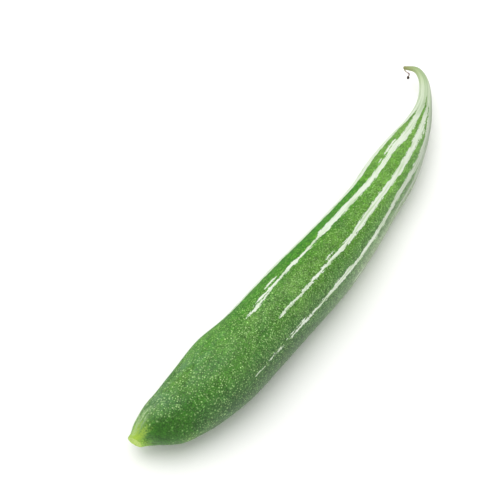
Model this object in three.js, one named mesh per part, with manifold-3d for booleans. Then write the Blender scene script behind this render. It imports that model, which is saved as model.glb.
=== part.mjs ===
// A snake gourd as picked: one long fruit, thickest near its cut stalk, that bends gently
// sideways and thins into a hooked neck. What is left of the flower hangs from the neck's tip.
// It lies on its side on a table. Millimetres, +Z up. +X runs from the stalk to the neck, and the
// origin is at table height, under the middle of the gourd's outline.
import * as THREE from 'three';
import { mergeVertices } from 'three/addons/utils/BufferGeometryUtils.js';
import Module from 'manifold-3d';

// ---- Driving dimensions of the fruit ----

// Its middle line seen from above, from the stalk's cut face to the neck's tip: [x, y].
const MIDDLE_LINE = [
  [-159.5, 17.6], [-156, 15.8], [-147.8, 11.2], [-121, 2.8], [-85, -3.1], [-45, -6.6], [-5, -9.8],
  [45, -9.1], [90, -5.3], [125, 0.5], [143, 7.2], [154, 15], [158, 22], [155.8, 28.4],
];
// Its girth: [distance along the middle line, radius].
const GIRTH = [
  [0.6, 5], [3, 6.1], [9, 10.3], [17, 14.2], [29, 17.2], [45, 20], [63, 22], [86, 21],
  [116, 21], [151, 20.4], [188, 18], [213, 16.1], [236, 15.7], [259, 13.1], [281, 8.9],
  [301, 5.2], [311, 4], [321, 3], [328, 2.2], [334, 1.5], [337.3, 1.1],
];
// The height of its underside over the table: [distance along the middle line, clearance].
const CLEARANCE = [
  [0, 8.8], [9, 5.5], [17, 3.5], [29, 1.5], [45, 0.3], [63, 0], [121, 0], [211, 0],
  [238, 0.6], [265, 2.4], [293, 6.6], [321, 11], [341, 13.9],
];
const CUT_FACE = [[0.7, 0], [0.45, 2.4], [0.1, 4.6]];   // dished middle to rim: [distance, radius]
const TIP_END = [[337.8, 0.7], [338, 0]];               // the tip's blunt end: [distance, radius]
const BELLY_PRESS = 0.45;      // how much of the belly is flattened where it rests
const STALK_TURN = 30;         // degrees that the cut face is turned from square to the middle line
const STALK_TURN_LENGTH = 24;  // distance over which that turn fades out
const FRAME_REACH = 5;         // how far ahead and behind a section looks for its direction
const SIDES = 36;              // faces around the fruit
const RINGS_PER_SPAN = 4;      // rings of vertices between two girths
const CLEARANCE_STEPS = 60;    // steps in which the clearance is read

// ---- Driving dimensions of the withered flower's thread ----

// Its middle line, from the tip past a knee to its knot: [x, y, z].
const THREAD_LINE = [
  [155.6, 28.8, 12.3], [155.3, 28.1, 11.7], [155.4, 26.5, 11.2], [155.3, 24.9, 10.8],
  [155, 24.9, 9.9], [154.8, 25.1, 8.9],
];
const THREAD_RADIUS = 0.35;
const THREAD_SIDES = 8;
const THREAD_STEPS = 16;
const KNOT_CENTRE = [154.7, 25.2, 7.8];
const KNOT_RADII = [0.95, 0.95, 1.2];
const KNOT_DETAIL = 1;

// ---- Helpers ----

const UPWARDS = new THREE.Vector3(0, 0, 1);

const smoothCurve = (points) => new THREE.CatmullRomCurve3(
  points.map(([x, y, z = 0]) => new THREE.Vector3(x, y, z)), false, 'centripetal');

// Reads a list of [distance, value] points, as the x and y of vectors, at one distance.
function valueAt(points, distance) {
  const above = points.findIndex((point) => point.x >= distance);
  if (above === 0) return points[0].y;
  if (above === -1) return points[points.length - 1].y;
  const [low, high] = [points[above - 1], points[above]];
  return THREE.MathUtils.mapLinear(distance, low.x, high.x, low.y, high.y);
}

// Merges a geometry's repeated vertices and drops the faces that close up to nothing at a pole.
function weld(geometry) {
  geometry.deleteAttribute('normal');
  geometry.deleteAttribute('uv');
  const welded = mergeVertices(geometry, 1e-4);
  const corners = welded.index.array;
  const kept = [];
  for (let i = 0; i < corners.length; i += 3) {
    const [a, b, c] = corners.slice(i, i + 3);
    if (a !== b && b !== c && c !== a) kept.push(a, b, c);
  }
  welded.setIndex(kept);
  return welded;
}

const wasm = await Module();
wasm.setup();

function toSolid(geometry) {
  const welded = weld(geometry);
  return new wasm.Manifold(new wasm.Mesh({
    numProp: 3,
    vertProperties: new Float32Array(welded.attributes.position.array),
    triVerts: new Uint32Array(welded.index.array),
  }));
}

function toGeometry(solid) {
  const mesh = solid.getMesh();
  const geometry = new THREE.BufferGeometry();
  geometry.setAttribute('position', new THREE.BufferAttribute(mesh.vertProperties, 3));
  geometry.setIndex(new THREE.BufferAttribute(mesh.triVerts, 1));
  geometry.computeVertexNormals();
  return geometry;
}

// ---- The fruit ----

const girth = smoothCurve(GIRTH).getPoints((GIRTH.length - 1) * RINGS_PER_SPAN);
const clearance = smoothCurve(CLEARANCE).getPoints(CLEARANCE_STEPS);
const middleLine = smoothCurve(MIDDLE_LINE);
const fruitLength = middleLine.getLength();

// The middle of the section at one distance from the cut face. It lies a radius over the
// underside, and past the tip it carries straight on.
function centreAt(distance) {
  const along = THREE.MathUtils.clamp(distance / fruitLength, 0, 1);
  const centre = middleLine.getPointAt(along);
  const beyond = distance - along * fruitLength;
  centre.addScaledVector(middleLine.getTangentAt(along), beyond);
  centre.z = valueAt(girth, distance) + valueAt(clearance, distance) - BELLY_PRESS;
  return centre;
}

// The way that the section at one distance faces.
function facingAt(distance) {
  const behind = centreAt(Math.max(distance - FRAME_REACH, 0));
  const facing = centreAt(distance + FRAME_REACH).sub(behind).normalize();
  const fade = 1 - THREE.MathUtils.smoothstep(distance, 0, STALK_TURN_LENGTH);
  return facing.applyAxisAngle(UPWARDS, THREE.MathUtils.degToRad(STALK_TURN * fade));
}

// A spindle is turned on the girth, bent along the middle line and pressed onto the table.
function makeFruit() {
  const profile = [
    ...CUT_FACE.map(([distance, radius]) => new THREE.Vector2(radius, distance)),
    ...girth.map((point) => new THREE.Vector2(point.y, point.x)),
    ...TIP_END.map(([distance, radius]) => new THREE.Vector2(radius, distance)),
  ];
  const fruit = weld(new THREE.LatheGeometry(profile, SIDES));
  const position = fruit.attributes.position;
  for (let i = 0; i < position.count; i++) {
    const distance = position.getY(i);
    const facing = facingAt(distance);
    const right = facing.clone().cross(UPWARDS).normalize();
    const up = right.clone().cross(facing);
    const point = centreAt(distance)
      .addScaledVector(right, position.getX(i))
      .addScaledVector(up, position.getZ(i));
    position.setXYZ(i, point.x, point.y, Math.max(point.z, 0));
  }
  fruit.computeVertexNormals();
  return fruit;
}

// ---- The withered thread ----

// A thin dry thread that ends in a shrivelled knot, joined as one piece.
function makeThread() {
  const section = new THREE.Shape();
  section.absarc(0, 0, THREAD_RADIUS, 0, 2 * Math.PI);
  const strand = toSolid(new THREE.ExtrudeGeometry(section, {
    extrudePath: smoothCurve(THREAD_LINE),
    steps: THREAD_STEPS,
    curveSegments: THREAD_SIDES,
  }));
  const knot = new THREE.IcosahedronGeometry(1, KNOT_DETAIL);
  knot.scale(...KNOT_RADII);
  knot.translate(...KNOT_CENTRE);
  return toGeometry(strand.add(toSolid(knot)));
}

// ---- The gourd ----

const gourd = new THREE.Group();

function addPiece(name, geometry, color, roughness) {
  const material = new THREE.MeshStandardMaterial({ color, roughness, metalness: 0 });
  const piece = new THREE.Mesh(geometry, material);
  piece.name = name;
  gourd.add(piece);
}

addPiece('fruit', makeFruit(), 0x4f8f3a, 0.45);
addPiece('withered_thread', makeThread(), 0x7a5c4a, 0.9);

export default gourd;
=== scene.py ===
# %% [markdown]
# # A snake gourd
#
# This lesson builds one short striped snake gourd, as picked, lying on a pale table. The real fruit
# grew as one piece: a long spindle, thickest near its stalk, that bends to one side and thins into
# a hooked neck. What is left of its flower hangs from the tip as a dry thread.
#
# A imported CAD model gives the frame: the same fruit and thread as plain solids. The script swaps
# each of them for a finished surface of the same size. Everything is in metres, with +X from the
# stalk to the neck and +Z up from the table.

# %% Load the frame
import math

import bpy
import numpy as np
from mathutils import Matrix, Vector


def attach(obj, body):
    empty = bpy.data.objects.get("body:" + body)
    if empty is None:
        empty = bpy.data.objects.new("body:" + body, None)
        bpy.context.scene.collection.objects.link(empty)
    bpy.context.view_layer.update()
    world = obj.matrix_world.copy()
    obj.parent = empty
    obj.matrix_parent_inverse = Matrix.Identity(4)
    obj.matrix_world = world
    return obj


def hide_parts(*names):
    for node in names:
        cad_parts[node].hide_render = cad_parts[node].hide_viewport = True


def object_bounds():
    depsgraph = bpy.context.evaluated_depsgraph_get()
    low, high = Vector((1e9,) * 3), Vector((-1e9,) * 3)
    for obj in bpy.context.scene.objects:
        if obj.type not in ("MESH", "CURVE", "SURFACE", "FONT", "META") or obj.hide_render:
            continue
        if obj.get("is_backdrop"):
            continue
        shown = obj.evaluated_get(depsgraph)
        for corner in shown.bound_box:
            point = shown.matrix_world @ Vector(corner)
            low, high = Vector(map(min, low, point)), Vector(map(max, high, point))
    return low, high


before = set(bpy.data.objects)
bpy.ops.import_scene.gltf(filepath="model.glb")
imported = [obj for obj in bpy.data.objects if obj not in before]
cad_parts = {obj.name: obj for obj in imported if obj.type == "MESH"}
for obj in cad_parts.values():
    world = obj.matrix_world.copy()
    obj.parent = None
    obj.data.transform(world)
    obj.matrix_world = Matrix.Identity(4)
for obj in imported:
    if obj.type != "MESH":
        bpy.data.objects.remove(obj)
cad_box = [list(corner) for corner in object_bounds()]
print("CAD nodes:", sorted(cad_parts))
print("CAD box in mm:", [[round(1000 * value, 1) for value in corner] for corner in cad_box])

# %% [markdown]
# ## The shape in a few numbers
#
# A gourd's shape comes from three things that are easy to read with a ruler: the line that runs
# through its middle, its girth along that line, and how far its underside clears the table. A few
# points each are enough, because a smooth curve goes through them. A sculpted mesh could give the
# same shape, but nobody could change its length or its bend afterwards.

# %% Driving dimensions of the fruit, in millimetres
MM = 0.001

# The middle line seen from above, from the cut stalk to the tip of the neck: x, y.
MIDDLE_LINE = [
    (-159.5, 17.6), (-156, 15.8), (-147.8, 11.2), (-121, 2.8), (-85, -3.1), (-45, -6.6), (-5, -9.8),
    (45, -9.1), (90, -5.3), (125, 0.5), (143, 7.2), (154, 15), (158, 22), (155.8, 28.4),
]
# The outline from the middle of the cut face, over its rim and on to the tip: distance, radius.
CUT_FACE = [(0.7, 0), (0.62, 1.1), (0.45, 2.4), (0.12, 4.1), (0.1, 4.6)]
GIRTH = [
    (0.6, 5), (3, 6.1), (9, 10.3), (17, 14.2), (29, 17.2), (45, 20), (63, 22), (86, 21),
    (116, 21), (151, 20.4), (188, 18), (213, 16.1), (236, 15.7), (259, 13.1), (281, 8.9),
    (301, 5.2), (311, 4), (321, 3), (328, 2.2), (334, 1.5), (337.3, 1.1),
]
TIP_END = [(337.8, 0.7), (338, 0)]
# How far the underside clears the table: distance, clearance.
CLEARANCE = [
    (0, 8.8), (9, 5.5), (17, 3.5), (29, 1.5), (45, 0.3), (63, 0), (121, 0), (211, 0),
    (238, 0.6), (265, 2.4), (293, 6.6), (321, 11), (341, 13.9),
]
LENGTH = TIP_END[-1][0]
BELLY_PRESS = 0.45        # how much of the belly is flattened where it rests
STALK_TURN = 30           # degrees that the cut face is turned from square to the middle line
STALK_TURN_LENGTH = 24    # distance over which that turn fades out
FRAME_REACH = 5           # how far ahead and behind a section looks for its direction
print("The fruit is", LENGTH, "mm long along its bend")

# %% [markdown]
# ## Smooth lines through given points
#
# A centripetal Catmull-Rom curve passes through every point and never loops between two that lie
# close together, which a plain one does. Each span is a blend of three straight blends.

# %% A smooth line through a few points
def smooth_line(points, steps):
    """Points on a centripetal Catmull-Rom curve, with so many steps between given points."""
    given = np.array(points, float)
    given = np.vstack([2 * given[0] - given[1], given, 2 * given[-1] - given[-2]])
    line = []
    for p0, p1, p2, p3 in zip(given, given[1:], given[2:], given[3:]):
        spans = [np.linalg.norm(b - a) for a, b in ((p0, p1), (p1, p2), (p2, p3))]
        t1, t2, t3 = np.cumsum(np.sqrt(spans))
        for t in np.linspace(t1, t2, steps, endpoint=False):
            a1 = p0 + (p1 - p0) * t / t1
            a2 = p1 + (p2 - p1) * (t - t1) / (t2 - t1)
            a3 = p2 + (p3 - p2) * (t - t2) / (t3 - t2)
            b1 = a1 + (a2 - a1) * t / t2
            b2 = a2 + (a3 - a2) * (t - t1) / (t3 - t1)
            line.append(b1 + (b2 - b1) * (t - t1) / (t2 - t1))
    line.append(given[-2])
    return np.array(line)


def arc_lengths(line):
    """How far along the line each of its points lies."""
    return np.concatenate([[0], np.cumsum(np.linalg.norm(np.diff(line, axis=0), axis=1))])


middle_line = smooth_line(MIDDLE_LINE, 40)
girth_line = smooth_line(GIRTH, 24)
clearance_line = smooth_line(CLEARANCE, 12)
print("middle line:", round(arc_lengths(middle_line)[-1], 1), "mm")

# %% [markdown]
# ## Where each section goes
#
# The fruit will be swept: a ring of points for each section, a radius from the middle line. The
# rings crowd together at both ends, where the outline turns quickly round the rim of the cut face
# and round the tip, and spread out over the long body.

# %% Sections along the outline
RING_SPACING = 0.86      # mm between rings on the body
END_CROWDING = 4         # how many times closer the rings are at the two ends
CROWDING_REACH = 5       # mm over which the rings spread out again

outline = np.vstack([smooth_line(CUT_FACE + GIRTH[:1], 8)[:-1], girth_line, TIP_END])
outline_arc = arc_lengths(outline)
end_distance = np.minimum(outline_arc, outline_arc[-1] - outline_arc)
density = (1 + END_CROWDING * np.exp(-end_distance / CROWDING_REACH)) / RING_SPACING
rings_between = (density[1:] + density[:-1]) / 2 * np.diff(outline_arc)
ring_count = np.concatenate([[0], np.cumsum(rings_between)])
wanted_counts = np.linspace(0, ring_count[-1], round(ring_count[-1]) + 1)
ring_arc = np.interp(wanted_counts, ring_count, outline_arc)
ring_distance = np.interp(ring_arc, outline_arc, outline[:, 0])
ring_radius = np.interp(ring_arc, outline_arc, outline[:, 1])
print(len(ring_arc), "rings")

# %% [markdown]
# Each ring needs a centre and a direction to face. The centre lies a radius over the underside. The
# direction looks a few millimetres ahead and behind, which keeps neighbouring rings from crossing
# where the girth grows fast. Near the stalk it is turned as well, because the knife went through
# the stalk at a slant.

# %% Centres and directions
def centre_at(distance):
    """The middle of the section at each distance. Past the tip it carries straight on."""
    arc = arc_lengths(middle_line)
    end_direction = (middle_line[-1] - middle_line[-2]) / (arc[-1] - arc[-2])
    beyond = np.maximum(distance - arc[-1], 0)
    x, y = [np.interp(distance, arc, middle_line[:, k]) + beyond * end_direction[k] for k in (0, 1)]
    clearance = np.interp(distance, *clearance_line.T)
    z = np.interp(distance, *girth_line.T) + clearance - BELLY_PRESS
    return np.stack([x, y, z], axis=1)


def facing_at(distance):
    """The way that the section at each distance faces."""
    ahead = centre_at(distance + FRAME_REACH) - centre_at(np.maximum(distance - FRAME_REACH, 0))
    ahead /= np.linalg.norm(ahead, axis=1, keepdims=True)
    done = np.clip(distance / STALK_TURN_LENGTH, 0, 1)
    turn = math.radians(STALK_TURN) * (1 - done * done * (3 - 2 * done))
    x = ahead[:, 0] * np.cos(turn) - ahead[:, 1] * np.sin(turn)
    y = ahead[:, 0] * np.sin(turn) + ahead[:, 1] * np.cos(turn)
    return np.stack([x, y, ahead[:, 2]], axis=1)


ring_centre = centre_at(ring_distance)
ring_facing = facing_at(ring_distance)
print("first centre:", ring_centre[0].round(1), "last centre:", ring_centre[-1].round(1))

# %% [markdown]
# The sections become a chain of points, one for each ring, that carries its numbers as named
# attributes. Geometry Nodes reads attributes by name, so this mesh is all that the sweep needs.

# %% A mesh that carries the sections
def attribute_mesh(name, points, **attributes):
    """A chain of points, each with its numbers or vectors as named attributes."""
    mesh = bpy.data.meshes.new(name)
    links = [(k, k + 1) for k in range(len(points) - 1)]
    mesh.from_pydata([tuple(point) for point in points], links, [])
    for key, values in attributes.items():
        kind, field = ("FLOAT_VECTOR", "vector") if values.ndim == 2 else ("FLOAT", "value")
        attribute = mesh.attributes.new(key, kind, "POINT")
        attribute.data.foreach_set(field, values.astype(np.float32).ravel())
    return mesh


section_mesh = attribute_mesh(
    "gourd_sections", ring_centre * MM, radius=ring_radius * MM,
    facing=ring_facing, share=ring_distance / LENGTH)
fruit = bpy.data.objects.new("gourd_fruit", section_mesh)
bpy.context.scene.collection.objects.link(fruit)
print(fruit.name, "starts as", len(section_mesh.vertices), "points")

# %% [markdown]
# ## One helper for every node tree
#
# A node is added in one line: its kind, what goes into its sockets, and its own settings. A socket
# takes a plain value or another node, so a formula reads from left to right. Many nodes hold hidden
# sockets for their other modes, so only those that are switched on are counted.

# %% The helper that adds a node
def fill(tree, node, sockets):
    """Fills a node's sockets, in order or by name, each with a plain value, a socket or a node."""
    shown = [socket for socket in node.inputs if socket.enabled]
    by_name = {socket.name: socket for socket in shown}
    for key, value in sockets.items() if isinstance(sockets, dict) else enumerate(sockets):
        socket = by_name[key] if isinstance(key, str) else shown[key]
        if isinstance(value, bpy.types.Node):
            value = next(output for output in value.outputs if output.enabled)
        if isinstance(value, bpy.types.NodeSocket):
            tree.links.new(value, socket)
        else:
            socket.default_value = value


def add(tree, kind, sockets=(), **settings):
    """Adds a node with its own settings and fills its sockets."""
    made = tree.nodes.new(kind)
    for name, value in settings.items():
        setattr(made, name, value)
    fill(tree, made, sockets)
    return made


print("helpers for every tree:", fill.__name__, add.__name__)

# %% [markdown]
# ## The tree that sweeps the skin
#
# The tree takes the section points and lays a grid of skin over them: one row of the grid for each
# section, one column for each step round it. It has named inputs, so that the same tree would sweep
# a longer gourd or a lumpier one. A curve with a round profile could do the same, but its profile
# always stands square to the curve, and the cut face doesn't.

# %% A tree with named inputs
def new_tree(name, inputs, result):
    """A Geometry Nodes tree with named inputs, each with its kind of socket and its usual value."""
    tree = bpy.data.node_groups.new(name, "GeometryNodeTree")
    for title, (kind, value) in inputs.items():
        socket = tree.interface.new_socket(title, in_out="INPUT", socket_type=kind)
        if value is not None:
            socket.default_value = value
    tree.interface.new_socket(result, in_out="OUTPUT", socket_type="NodeSocketGeometry")
    return tree, tree.nodes.new("NodeGroupInput").outputs


SWEEP_INPUTS = {
    "Sections": ("NodeSocketGeometry", None),
    "Sides": ("NodeSocketInt", 168),
    "Lump depth": ("NodeSocketFloat", 0.5 * MM),
    "Lump width": ("NodeSocketFloat", 24 * MM),
    "Pucker depth": ("NodeSocketFloat", 0.12 * MM),
    "Pucker width": ("NodeSocketFloat", 5 * MM),
    "Rib depth": ("NodeSocketFloat", 0.3 * MM),
    "Crease depth": ("NodeSocketFloat", 0.25 * MM),
    "Seed": ("NodeSocketFloat", 3.0),
    "Skin": ("NodeSocketMaterial", None),
    "Cut face": ("NodeSocketMaterial", None),
}
sweep, given = new_tree("Sweep gourd skin", SWEEP_INPUTS, "Skin mesh")
print("inputs:", list(SWEEP_INPUTS))

# %% [markdown]
# A point of the grid knows its row and its column from its own place. The row picks the section to
# read, and the column becomes an angle round it: half a turn either way from the top, so that the
# seam of the grid lies hidden along the belly.

# %% The grid, and the section that each of its rows follows
sections = given["Sections"]
rows = add(sweep, "GeometryNodeAttributeDomainSize", [sections]).outputs["Point Count"]
last_row = add(sweep, "ShaderNodeMath", [rows, 1], operation="SUBTRACT")
columns = add(sweep, "ShaderNodeMath", [given["Sides"], 1], operation="ADD")
grid = add(sweep, "GeometryNodeMeshGrid",
           {"Size X": last_row, "Size Y": 1, "Vertices X": rows, "Vertices Y": columns})
place = add(sweep, "ShaderNodeSeparateXYZ", [add(sweep, "GeometryNodeInputPosition")])
row = add(sweep, "ShaderNodeMath", [last_row, 0.5, place.outputs["X"]], operation="MULTIPLY_ADD")
row = add(sweep, "ShaderNodeMath", [row], operation="ROUND")
around = add(sweep, "ShaderNodeMath", [place.outputs["Y"], 0.5], operation="ADD")
angle = add(sweep, "ShaderNodeMath", [place.outputs["Y"], 2 * math.pi], operation="MULTIPLY")

section = {}
for name, kind in (("radius", "FLOAT"), ("share", "FLOAT"), ("facing", "FLOAT_VECTOR")):
    value = add(sweep, "GeometryNodeInputNamedAttribute", {"Name": name}, data_type=kind)
    section[name] = add(sweep, "GeometryNodeSampleIndex",
                        {"Geometry": sections, "Value": value, "Index": row}, data_type=kind)
section["centre"] = add(sweep, "GeometryNodeSampleIndex", {
    "Geometry": sections, "Value": add(sweep, "GeometryNodeInputPosition"), "Index": row,
}, data_type="FLOAT_VECTOR")
print("each row reads:", list(section))

# %% [markdown]
# The angle turns into a direction. The section's right is level, and its up stands square to that
# and to the way it faces, so the stripes on the skin don't twist on their way along the fruit.

# %% From angle to direction
facing = section["facing"]
right = add(sweep, "ShaderNodeVectorMath", [facing, (0, 0, 1)], operation="CROSS_PRODUCT")
right = add(sweep, "ShaderNodeVectorMath", [right], operation="NORMALIZE")
up = add(sweep, "ShaderNodeVectorMath", [right, facing], operation="CROSS_PRODUCT")
up = add(sweep, "ShaderNodeVectorMath", [up], operation="NORMALIZE")
sine = add(sweep, "ShaderNodeMath", [angle], operation="SINE")
cosine = add(sweep, "ShaderNodeMath", [angle], operation="COSINE")
to_right = add(sweep, "ShaderNodeVectorMath", [right, sine], operation="SCALE")
to_up = add(sweep, "ShaderNodeVectorMath", [up, cosine], operation="SCALE")
outwards = add(sweep, "ShaderNodeVectorMath", [to_right, to_up], operation="ADD")
print("the sweep has", len(sweep.nodes), "nodes so far")

# %% [markdown]
# ## What makes it look grown
#
# A turned spindle looks like plastic. Real skin has slow lumps where the flesh swelled unevenly,
# smaller puckers between them, soft ribs along the thin neck, and creases that run into the stalk.
# All of them cut inwards from the ideal girth, so the fruit never outgrows its frame. They are real
# geometry, because a bump map would leave the outline perfectly smooth.

# %% Lumps and puckers
ideal = add(sweep, "ShaderNodeVectorMath",
            [outwards, section["radius"], section["centre"]], operation="MULTIPLY_ADD")
hollows = []
HOLLOW_KINDS = (("Lump depth", "Lump width", 0.0), ("Pucker depth", "Pucker width", 7.3))
for depth, width, seed_step in HOLLOW_KINDS:
    scale = add(sweep, "ShaderNodeMath", [1, given[width]], operation="DIVIDE")
    seed = add(sweep, "ShaderNodeMath", [given["Seed"], seed_step], operation="ADD")
    noise = add(sweep, "ShaderNodeTexNoise",
                {"Vector": ideal, "W": seed, "Scale": scale, "Detail": 1.0}, noise_dimensions="4D")
    hollows.append(add(sweep, "ShaderNodeMath", [noise, given[depth]], operation="MULTIPLY"))
    print(depth, "is", round(SWEEP_INPUTS[depth][1] / MM, 2), "mm")

# %% [markdown]
# The ribs lie between the stripes, ten of them round the fruit. They fade in along the neck. The
# creases are sharper, and fade out within the first stretch of skin after the stalk.

# %% Ribs on the neck and creases at the stalk
RIB_COUNT = 10
CREASE_COUNT = 9
RIB_FADE = (0.62, 0.84)         # shares of the length where the ribs begin and are full
CREASE_FADE = (0.045, 0.006)    # where the creases have gone, and where they are full
for count, fade, depth, sharpness in (
        (RIB_COUNT, RIB_FADE, "Rib depth", 1), (CREASE_COUNT, CREASE_FADE, "Crease depth", 4)):
    wave = add(sweep, "ShaderNodeMath", [angle, count], operation="MULTIPLY")
    wave = add(sweep, "ShaderNodeMath", [wave], operation="COSINE")
    wave = add(sweep, "ShaderNodeMapRange", {"Value": wave, "From Min": -1, "From Max": 1})
    wave = add(sweep, "ShaderNodeMath", [wave, sharpness], operation="POWER")
    shown = add(sweep, "ShaderNodeMapRange",
                {"Value": section["share"], "From Min": fade[0], "From Max": fade[1]},
                interpolation_type="SMOOTHSTEP")
    wave = add(sweep, "ShaderNodeMath", [wave, shown], operation="MULTIPLY")
    hollows.append(add(sweep, "ShaderNodeMath", [wave, given[depth]], operation="MULTIPLY"))
print(len(hollows), "kinds of hollow")

# %% [markdown]
# The hollows add up. They shrink with the radius, so that the tip and the middle of the cut face
# stay closed. The skin is then laid at its place, and whatever would sink into the table is pressed
# flat against it, as the weight of the fruit does.

# %% Lay the skin
FULL_HOLLOW_RADIUS = 5 * MM
hollow = hollows[0]
for other in hollows[1:]:
    hollow = add(sweep, "ShaderNodeMath", [hollow, other], operation="ADD")
room = add(sweep, "ShaderNodeMapRange",
           {"Value": section["radius"], "From Max": FULL_HOLLOW_RADIUS})
hollow = add(sweep, "ShaderNodeMath", [hollow, room], operation="MULTIPLY")
radius = add(sweep, "ShaderNodeMath", [section["radius"], hollow], operation="SUBTRACT")
laid = add(sweep, "ShaderNodeVectorMath",
           [outwards, radius, section["centre"]], operation="MULTIPLY_ADD")
on_table = add(sweep, "ShaderNodeVectorMath", [laid, (-1, -1, 0)], operation="MAXIMUM")
print("hollows are fully deep from a radius of", round(FULL_HOLLOW_RADIUS / MM), "mm")

# %% [markdown]
# The materials need to know where on the skin they are. Each corner of the mesh keeps a UV: how far
# round, and how far along. Corners on the two sides of the seam keep different values after the
# seam is merged, so the pattern doesn't smear there. Each point keeps its girth too, which turns a
# share of a turn into millimetres. The grid's faces look at the middle line, so they are flipped.

# %% Store the skin's own coordinates, close the seam and finish
SEAM_GAP = 0.001 * MM        # points closer than this are one
where = add(sweep, "ShaderNodeCombineXYZ", [around, section["share"]])
named = add(sweep, "GeometryNodeStoreNamedAttribute",
            {"Geometry": grid, "Name": "skin", "Value": where}, data_type="FLOAT2", domain="CORNER")
named = add(sweep, "GeometryNodeStoreNamedAttribute",
            {"Geometry": named, "Name": "girth", "Value": section["radius"]}, data_type="FLOAT")
outward = add(sweep, "GeometryNodeFlipFaces", [named])
posed = add(sweep, "GeometryNodeSetPosition", {"Geometry": outward, "Position": on_table})
closed = add(sweep, "GeometryNodeMergeByDistance", {"Geometry": posed, "Distance": SEAM_GAP})
smooth = add(sweep, "GeometryNodeSetShadeSmooth", [closed])
real = add(sweep, "GeometryNodeRealizeInstances", [smooth])
skinned = add(sweep, "GeometryNodeSetMaterial", {"Geometry": real, "Material": given["Skin"]})
print("the sweep has", len(sweep.nodes), "nodes so far")

# %% [markdown]
# The knife left a bare face, which is not skin. Its faces are those whose outline turns inwards,
# before the rim, and they get a material of their own.

# %% The cut face
RIM_RADIUS = CUT_FACE[-1][1] * MM
girth_read = add(sweep, "GeometryNodeInputNamedAttribute", {"Name": "girth"}, data_type="FLOAT")
girth_here = girth_read.outputs["Attribute"]
is_narrow = add(sweep, "FunctionNodeCompare", [girth_here, RIM_RADIUS], operation="LESS_THAN")
spot = add(sweep, "ShaderNodeSeparateXYZ", [add(sweep, "GeometryNodeInputPosition")])
is_stalk = add(sweep, "FunctionNodeCompare", [spot.outputs["X"], 0.0], operation="LESS_THAN")
is_cut = add(sweep, "FunctionNodeBooleanMath", [is_narrow, is_stalk], operation="AND")
dressed = add(sweep, "GeometryNodeSetMaterial",
              {"Geometry": skinned, "Selection": is_cut, "Material": given["Cut face"]})
add(sweep, "NodeGroupOutput", [dressed])
print("the sweep has", len(sweep.nodes), "nodes")

# %% [markdown]
# ## From a live modifier to a plain mesh
#
# The tree runs as a modifier. Its inputs are set by the sockets' identifiers, since two sockets may
# share a name. The result is then copied to a plain mesh and the modifier goes, so that nothing
# later depends on it. A grid brings an empty material slot of its own, which goes too.

# %% Run a tree and keep its mesh
def grow(piece, tree, **inputs):
    """Runs the tree on the piece with these inputs and keeps the resulting mesh."""
    modifier = piece.modifiers.new(tree.name, "NODES")
    modifier.node_group = tree
    for socket in tree.interface.items_tree:
        key = socket.name.lower().replace(" ", "_")
        if socket.in_out == "INPUT" and key in inputs:
            modifier[socket.identifier] = inputs.pop(key)
    assert not inputs, f"the tree has no inputs {sorted(inputs)}"
    evaluated = piece.evaluated_get(bpy.context.evaluated_depsgraph_get())
    mesh = bpy.data.meshes.new_from_object(evaluated)
    if mesh.materials[0] is None:
        mesh.materials.pop(index=0)
    piece.modifiers.clear()
    piece.data = mesh
    size = [round(value / MM, 1) for value in piece.dimensions]
    print(piece.name, "has", len(mesh.polygons), "faces and measures", size, "mm")


# %% [markdown]
# ## Colours
#
# Colours are written as a paint chart gives them, in sRGB hex. Light adds up in linear values, so
# one function converts them.

# %% Hex to linear colour
def colour(code):
    """The linear colour of an sRGB hex value such as "#5a8a42"."""
    values = [int(code[k:k + 2], 16) / 255 for k in (1, 3, 5)]
    linear = [v / 12.92 if v <= 0.04045 else ((v + 0.055) / 1.055) ** 2.4 for v in values]
    return (*linear, 1.0)


def new_material(name):
    """A material with an empty tree and its shader, ready for nodes."""
    material = bpy.data.materials.new(name)
    material.use_nodes = True
    tree = material.node_tree
    tree.nodes.clear()
    shader = tree.nodes.new("ShaderNodeBsdfPrincipled")
    output = tree.nodes.new("ShaderNodeOutputMaterial")
    tree.links.new(shader.outputs[0], output.inputs[0])
    return material, tree, shader


print("a leaf green in linear values:", [round(value, 3) for value in colour("#4c8023")[:3]])

# %% [markdown]
# ## The gourd's skin
#
# A snake gourd's rind is a living skin under a thin bloom of wax. The wax makes it satin rather
# than shiny, with wide soft highlights. Its colour comes in layers, and each layer below is one
# step: the green, the speckles, the pale stripes, the pale neck, and the yellow-green stalk.
#
# The steps share three coordinates: the share of the length, the share of a turn round the fruit,
# and the place in space for what doesn't follow the growth.

# %% The skin's coordinates
rind, skin, skin_shader = new_material("gourd_rind_grown_waxy")
on_skin = add(skin, "ShaderNodeSeparateXYZ", [add(skin, "ShaderNodeUVMap", uv_map="skin")])
around_skin, along_skin = on_skin.outputs["X"], on_skin.outputs["Y"]
in_space = add(skin, "ShaderNodeTexCoord").outputs["Object"]
girth = add(skin, "ShaderNodeAttribute", attribute_name="girth").outputs["Fac"]
turn_mm = add(skin, "ShaderNodeMath", [girth, 2 * math.pi / MM], operation="MULTIPLY")
print(rind.name, "reads how far round, how far along, and the girth")

# %% [markdown]
# The fibres under the skin run along the fruit, so stripes fray along their length. One more pair
# of coordinates, in millimetres round and along, gives fibre patterns their real size.

# %% Fibre coordinates in millimetres
BODY_RADIUS = 20         # mm, where a turn round the fruit is measured for the fibres
BODY_TURN = 2 * math.pi * BODY_RADIUS
shares = add(skin, "ShaderNodeUVMap", uv_map="skin")
fibre_place = add(skin, "ShaderNodeVectorMath",
                  [shares, (BODY_TURN, LENGTH, 0)], operation="MULTIPLY")
print("a turn of fibres is", round(BODY_TURN), "mm wide")

# %% [markdown]
# Two small tools draw on these coordinates. One runs through colours along the fruit, and one
# through plain values from 0 to 1.

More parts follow.
